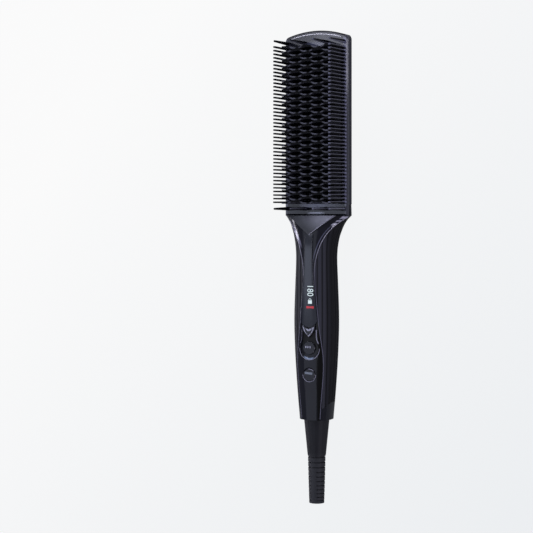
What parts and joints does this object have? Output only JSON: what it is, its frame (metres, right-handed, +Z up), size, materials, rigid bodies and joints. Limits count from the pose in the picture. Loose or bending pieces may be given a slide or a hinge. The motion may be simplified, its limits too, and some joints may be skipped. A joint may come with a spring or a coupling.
{
  "type": "hair straightening brush",
  "caption": "Heated straightening brush with two comb rows, wavy heated fins, a display and keys on a reeded handle, and a swivelling cord relief.",
  "frame": {"origin": "on the table plane, under the middle of the tool, which lies on its back", "axes": "+Z up, out of the comb side; +Y from the strain relief to the tip of the head; +X to the right, seen from above with the head away from the viewer"},
  "size_m": [0.0558, 0.365, 0.0435],
  "materials": {
    "gloss_black": "polished black plastic",
    "matte_black": "soft matte black plastic, reeded",
    "satin_black": "fine satin black plastic",
    "smoked_window": "smoked clear plastic, polished",
    "comb_black": "heat-resistant black plastic",
    "fin_coat": "die-cast fins with a dark ceramic coating",
    "relief_black": "flexible matte black",
    "heater_plain": "flat heaters in aluminium sleeves",
    "mica": "mica sheet",
    "carrier_grey": "glass-filled plastic",
    "steel": "zinc-plated steel",
    "brass": "plain brass",
    "board_green": "printed circuit board",
    "display_block": "white display housing",
    "part_black": "moulded electronic parts",
    "lead_red": "silicone insulated wire"
  },
  "bodies": {
    "handle": {"head_back_cover": "matte_black", "head_frame": "gloss_black", "comb_left": "comb_black", "comb_right": "comb_black", "end_pins_low": "comb_black", "end_pins_top": "comb_black", "heater_plate": "fin_coat", "heater_bars": "heater_plain", "insulation_sheet": "mica", "heater_carrier": "carrier_grey", "carrier_screws": "steel", "thermal_fuse": "steel", "thermistor": "part_black", "neck_collar": "gloss_black", "neck_facet": "satin_black", "front_panel": "gloss_black", "display_window": "smoked_window", "grip_shell": "matte_black", "tail_band": "gloss_black", "control_board": "board_green", "key_switches": "part_black", "display_module": "display_block", "board_screws": "steel", "power_board": "board_green", "power_parts": "part_black", "power_screws": "steel", "board_header": "part_black", "heater_leads": "lead_red", "supply_leads": "lead_red", "swivel_carrier": "carrier_grey", "brush_springs": "brass"},
    "up_key": {"key_up": "gloss_black"},
    "mode_key": {"key_mode": "gloss_black"},
    "power_key": {"key_power": "gloss_black"},
    "cord_swivel": {"strain_relief": "relief_black", "slip_rings": "brass"}
  },
  "joints": [
    {"name": "up_key_press", "type": "slide", "parent": "handle", "child": "up_key", "axis": [0, 0, -1], "range_m": [0, 0.0005], "stiffness_N_per_m": 400, "springref_m": -0.002},
    {"name": "mode_key_press", "type": "slide", "parent": "handle", "child": "mode_key", "axis": [0, 0, -1], "range_m": [0, 0.0005], "stiffness_N_per_m": 400, "springref_m": -0.002},
    {"name": "power_key_press", "type": "slide", "parent": "handle", "child": "power_key", "axis": [0, 0, -1], "range_m": [0, 0.0005], "stiffness_N_per_m": 400, "springref_m": -0.002},
    {"name": "cord_swivel_turn", "type": "hinge", "parent": "handle", "child": "cord_swivel", "pos_m": [0, -0.1175, 0.017], "axis": [0, 1, 0], "continuous": true}
  ]
}
